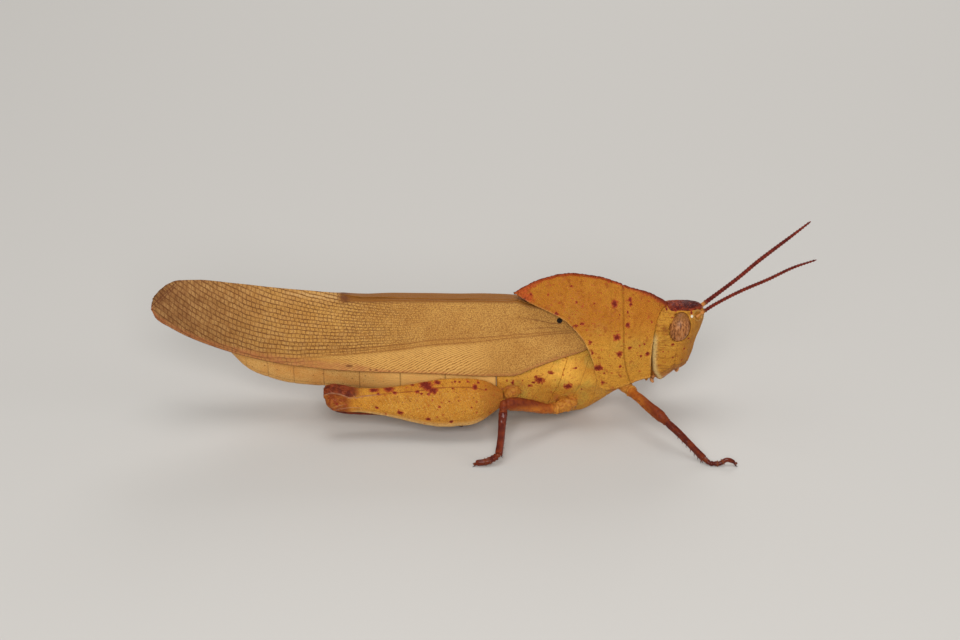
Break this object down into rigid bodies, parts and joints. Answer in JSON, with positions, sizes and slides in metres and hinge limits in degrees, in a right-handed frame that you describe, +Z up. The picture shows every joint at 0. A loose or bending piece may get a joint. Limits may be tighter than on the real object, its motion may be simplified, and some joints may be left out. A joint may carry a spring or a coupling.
{
  "type": "grasshopper model",
  "caption": "Life-size still model of a gumleaf grasshopper at rest, ochre and red-speckled, with an arched keeled shield and leaf-like folded wings.",
  "frame": {"origin": "on the floor, midway along and across the box round the whole insect", "axes": "+X forward, the way the head faces, +Y to its left, +Z up"},
  "size_m": [0.0658, 0.023, 0.0192],
  "materials": {
    "pronotum": "satin, finely granulated",
    "thorax": "satin",
    "abdomen": "satin",
    "head": "satin",
    "mouthparts": "satin",
    "eye": "gloss",
    "antenna": "satin",
    "forewing": "matt, veined",
    "hindwing": "thin and translucent",
    "jumping_thigh": "satin",
    "leg": "satin",
    "shin": "gloss",
    "claw": "satin"
  },
  "bodies": {
    "root": {"abdomen": "abdomen", "antenna_left": "antenna", "antenna_right": "antenna", "cercus_left": "claw", "cercus_right": "claw", "coxa_fore_left": "leg", "coxa_fore_right": "leg", "coxa_hind_left": "leg", "coxa_hind_right": "leg", "coxa_mid_left": "leg", "coxa_mid_right": "leg", "eye_left": "eye", "eye_right": "eye", "femur_fore_left": "leg", "femur_fore_right": "leg", "femur_hind_left": "jumping_thigh", "femur_hind_right": "jumping_thigh", "femur_mid_left": "leg", "femur_mid_right": "leg", "forewing_left": "forewing", "forewing_right": "forewing", "head": "head", "hindwing_left": "hindwing", "hindwing_right": "hindwing", "jaws": "mouthparts", "labrum": "mouthparts", "mesothorax": "thorax", "metathorax": "thorax", "neck": "thorax", "ovipositor": "claw", "palp_left": "mouthparts", "palp_right": "mouthparts", "pronotum": "pronotum", "prothorax": "thorax", "tarsus_fore_left": "shin", "tarsus_fore_right": "shin", "tarsus_hind_left": "shin", "tarsus_hind_right": "shin", "tarsus_mid_left": "shin", "tarsus_mid_right": "shin", "tibia_fore_left": "shin", "tibia_fore_right": "shin", "tibia_hind_left": "shin", "tibia_hind_right": "shin", "tibia_mid_left": "shin", "tibia_mid_right": "shin"}
  },
  "joints": []
}
